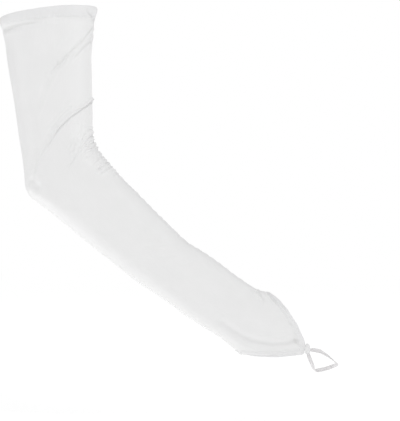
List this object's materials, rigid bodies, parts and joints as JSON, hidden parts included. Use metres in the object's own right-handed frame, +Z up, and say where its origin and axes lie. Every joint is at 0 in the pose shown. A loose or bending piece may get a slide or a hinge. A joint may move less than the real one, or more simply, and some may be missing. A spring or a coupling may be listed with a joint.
{
  "type": "long fingerless evening glove",
  "caption": "Opera-length fingerless satin glove, bent as worn, with hemmed arm opening and a point over the back of the hand held by an elastic finger loop.",
  "frame": {"origin": "middle of the arm opening, in the middle of the upper arm that it goes round", "axes": "+Z up along the upper arm, +Y away from the back of the hand (the glove is seen from -Y), +X from the elbow side towards the hand"},
  "size_m": [0.3546, 0.0908, 0.3831],
  "materials": {
    "satin": "white stretch satin, soft sheen",
    "hem_satin": "white stretch satin, turned and stitched",
    "elastic": "narrow white ribbed elastic, matt"
  },
  "bodies": {
    "root": {"sleeve": "satin", "top_hem": "hem_satin", "hand_hem": "hem_satin", "loop_casing": "hem_satin", "finger_loop": "elastic"}
  },
  "joints": []
}
